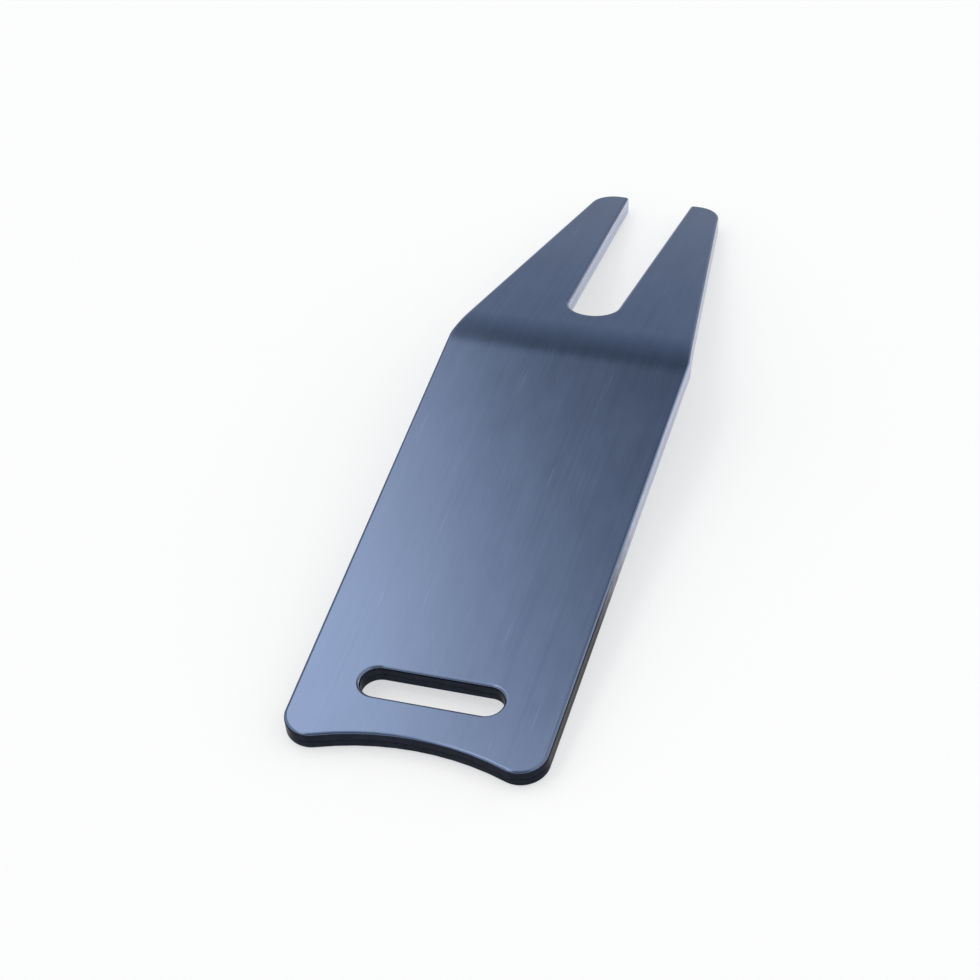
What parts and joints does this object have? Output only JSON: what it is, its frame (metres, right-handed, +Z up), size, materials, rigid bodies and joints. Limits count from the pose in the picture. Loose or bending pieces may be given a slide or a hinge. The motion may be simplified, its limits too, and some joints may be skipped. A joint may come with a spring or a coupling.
{
  "type": "divot repair tool",
  "caption": "Bent sheet-metal golf tool: a flat grip with a crosswise slot and scooped butt, and a tapered two-pronged fork that lifts dented turf.",
  "frame": {"origin": "on the table under the middle of the tool's box, with the tool standing on its fork tips and butt corners", "axes": "+X across the tool, +Y from the butt to the fork tips, +Z up, on the domed side of the bend"},
  "size_m": [0.0254, 0.0904, 0.0082],
  "materials": {
    "coated_steel": "dark blue-grey glossy metallic coating over faintly brushed steel, edges slightly rounded"
  },
  "bodies": {
    "root": {"blade": "coated_steel"}
  },
  "joints": []
}
